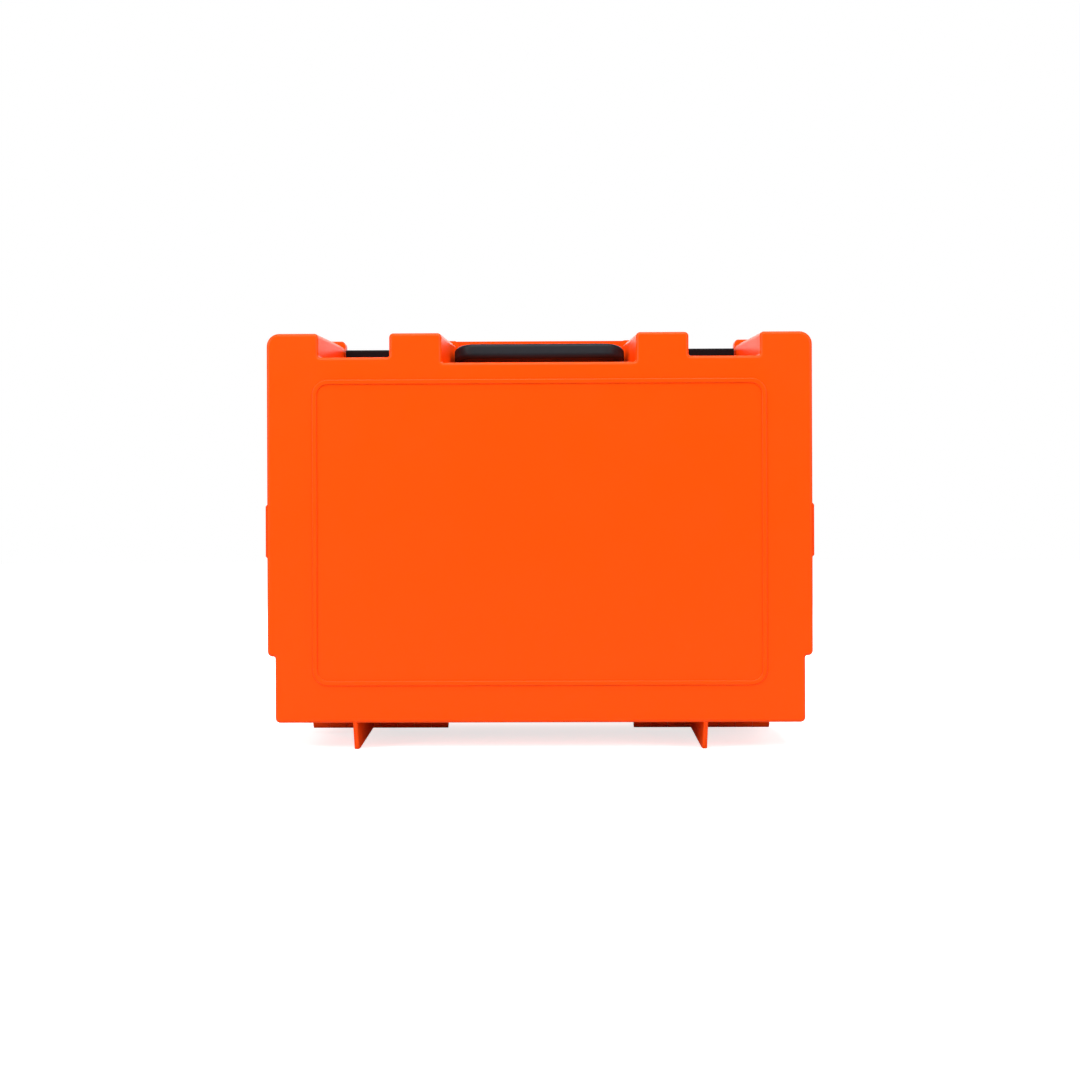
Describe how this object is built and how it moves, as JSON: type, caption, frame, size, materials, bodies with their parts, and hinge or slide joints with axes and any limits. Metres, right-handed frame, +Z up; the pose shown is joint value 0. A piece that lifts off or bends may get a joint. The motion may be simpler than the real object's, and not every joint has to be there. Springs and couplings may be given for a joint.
{
  "type": "first aid case",
  "caption": "Upright moulded case of hinged half shells with top latches, a folding carrying handle, standing fins and packed first aid supplies",
  "frame": {"origin": "on the floor, under the middle of the closed case standing on its fins", "axes": "+X to the right seen from the front, +Y from the front shell to the rear shell, +Z up"},
  "size_m": [0.4, 0.1509, 0.3036],
  "materials": {
    "shell_orange": "moulded ABS with a fine satin grain",
    "seal_rubber": "soft, matt",
    "pin_steel": "ground bar",
    "latch_black": "satin moulded nylon",
    "handle_slate": "satin moulded polypropylene",
    "insert_grey": "smooth moulded polystyrene",
    "cover_clear": "clear sheet",
    "knob_white": "satin moulded nylon",
    "cold_pack_film": "film over gel",
    "wrap_paper": "coated sterile paper",
    "wrap_film": "peel-open film",
    "carton_board": "white lined carton",
    "glove_film": "thin film bag",
    "blanket_film": "gold metallised film in a bag",
    "guide_paper": "coated paper",
    "scissors_steel": "brushed stainless steel",
    "gauze": "woven elastic gauze",
    "spool_white": "smooth moulded plastic",
    "tape_cloth": "woven adhesive tape"
  },
  "bodies": {
    "base": {"bandage_roll_1": "gauze", "bandage_roll_2": "gauze", "bandage_roll_3": "gauze", "bandage_roll_4": "gauze", "bandage_roll_5": "gauze", "bandage_roll_6": "gauze", "burn_sheet": "wrap_film", "clear_cover": "cover_clear", "cold_pack": "cold_pack_film", "compress_1": "wrap_paper", "compress_2": "wrap_paper", "compress_3": "wrap_paper", "compress_4": "wrap_paper", "divider_insert": "insert_grey", "glove_pack": "glove_film", "hinge_pin_left": "pin_steel", "hinge_pin_right": "pin_steel", "latch_pin_left": "pin_steel", "latch_pin_right": "pin_steel", "plaster_carton": "carton_board", "rear_shell": "shell_orange", "rescue_blanket": "blanket_film", "rim_seal": "seal_rubber", "tape_1": "tape_cloth", "tape_2": "tape_cloth", "tape_spool_1": "spool_white", "tape_spool_2": "spool_white", "triangular_bandage": "wrap_paper", "wipes_pack": "wrap_film", "wound_dressing_1": "wrap_paper", "wound_dressing_2": "wrap_paper", "wound_dressing_3": "wrap_paper", "wound_dressing_4": "wrap_paper"},
    "lid": {"front_shell": "shell_orange", "guide_booklet": "guide_paper", "guide_pocket": "cover_clear", "scissors_fixed_half": "scissors_steel", "scissors_rivet": "pin_steel", "handle_pin_left": "pin_steel", "handle_pin_right": "pin_steel"},
    "handle": {"handle": "handle_slate"},
    "latch_left": {"latch_left": "latch_black"},
    "latch_right": {"latch_right": "latch_black"},
    "cover_knob_left": {"cover_knob_left": "knob_white"},
    "cover_knob_right": {"cover_knob_right": "knob_white"},
    "scissors": {"scissors_moving_half": "scissors_steel"}
  },
  "joints": [
    {"name": "lid_hinge", "type": "hinge", "parent": "base", "child": "lid", "pos_m": [0, 0, 0.0098], "axis": [1, 0, 0], "range_deg": [0, 180]},
    {"name": "handle_pivot", "type": "hinge", "parent": "lid", "child": "handle", "pos_m": [0, -0.0104, 0.283], "axis": [-1, 0, 0], "range_deg": [0, 80]},
    {"name": "latch_left_pivot", "type": "hinge", "parent": "base", "child": "latch_left", "pos_m": [-0.129, 0.009, 0.2902], "axis": [-1, 0, 0], "range_deg": [0, 110]},
    {"name": "latch_right_pivot", "type": "hinge", "parent": "base", "child": "latch_right", "pos_m": [0.129, 0.009, 0.2902], "axis": [-1, 0, 0], "range_deg": [0, 110]},
    {"name": "cover_knob_left_turn", "type": "hinge", "parent": "base", "child": "cover_knob_left", "pos_m": [-0.1, 0.004, 0.2614], "axis": [0, 1, 0], "range_deg": [0, 90]},
    {"name": "cover_knob_right_turn", "type": "hinge", "parent": "base", "child": "cover_knob_right", "pos_m": [0.1, 0.004, 0.2614], "axis": [0, 1, 0], "range_deg": [0, 90]},
    {"name": "scissors_pivot", "type": "hinge", "parent": "lid", "child": "scissors", "pos_m": [0.095, -0.063, 0.14], "axis": [0, -1, 0], "range_deg": [0, 35]}
  ]
}
